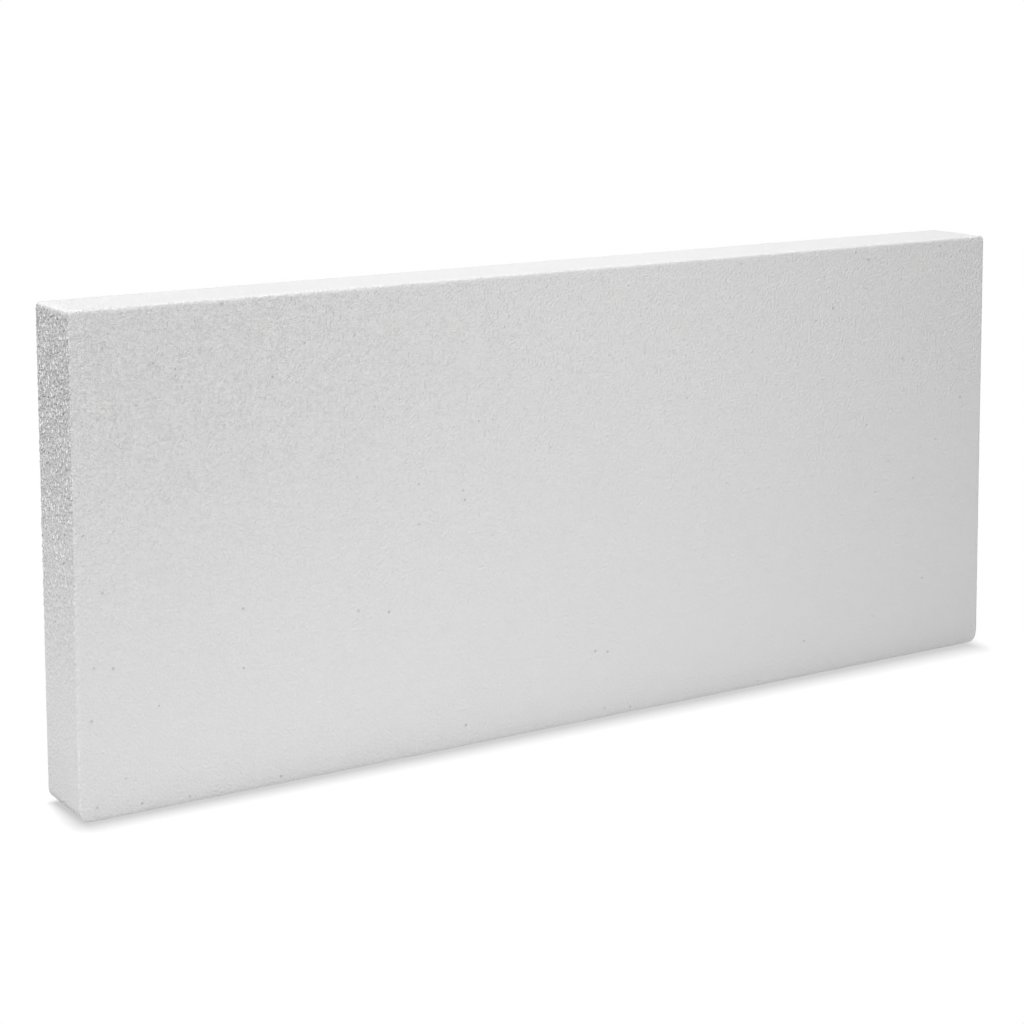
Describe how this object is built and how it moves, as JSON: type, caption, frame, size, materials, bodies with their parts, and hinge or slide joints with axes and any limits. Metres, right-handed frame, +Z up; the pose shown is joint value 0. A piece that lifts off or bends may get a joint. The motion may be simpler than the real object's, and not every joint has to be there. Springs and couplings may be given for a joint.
{
  "type": "foam block",
  "caption": "Flat rectangular slab of white expanded bead foam with slightly rounded corners and softened edges, standing on its long edge.",
  "frame": {"origin": "centre of the underside, on the surface the block stands on", "axes": "+X along the length, +Y along the thickness from the front face to the back face, +Z up"},
  "size_m": [0.7, 0.05, 0.3],
  "materials": {
    "bead_foam": "matte, fused white beads with a smooth moulded skin on the broad faces and opened beads at the cut ends"
  },
  "bodies": {
    "root": {"foam_block": "bead_foam"}
  },
  "joints": []
}
